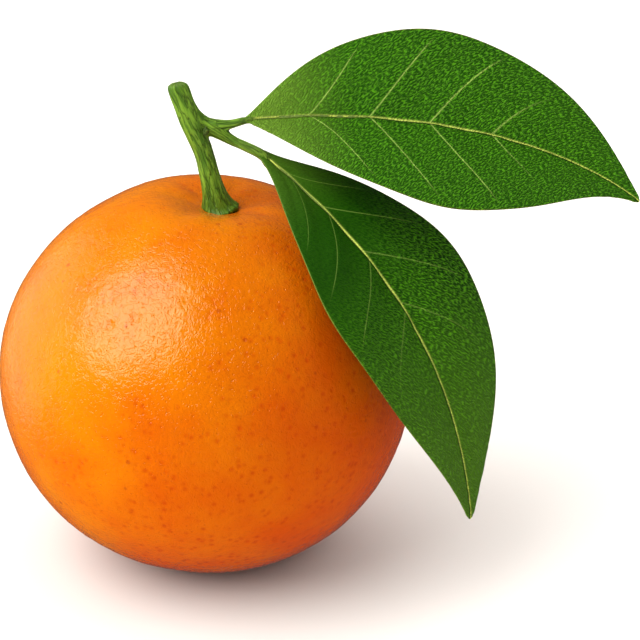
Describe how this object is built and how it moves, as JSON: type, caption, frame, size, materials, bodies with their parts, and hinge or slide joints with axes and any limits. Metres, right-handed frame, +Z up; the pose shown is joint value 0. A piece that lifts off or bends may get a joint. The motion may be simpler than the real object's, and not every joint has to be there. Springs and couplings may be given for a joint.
{
  "type": "mandarin",
  "caption": "Round ripe mandarin with a dimpled stem end, a cut green stem and a side shoot of pointed citrus leaves, resting on a small flat spot.",
  "frame": {"origin": "middle of the small flat spot that the fruit rests on", "axes": "+Z up from the rest spot to the stem end, +X towards the leaves, -Y towards the side that the lower leaf hangs in front of"},
  "size_m": [0.0957, 0.062, 0.077],
  "materials": {
    "rind": "satin",
    "calyx_green": "satin",
    "green_bark": "satin",
    "bud_green": "satin",
    "petiole_green": "satin",
    "leaf": "satin"
  },
  "bodies": {
    "root": {"fruit": "rind", "calyx": "calyx_green", "stem": "green_bark", "axillary_bud": "bud_green", "upper_petiole": "petiole_green", "lower_petiole": "petiole_green", "upper_leaf": "leaf", "lower_leaf": "leaf"}
  },
  "joints": []
}
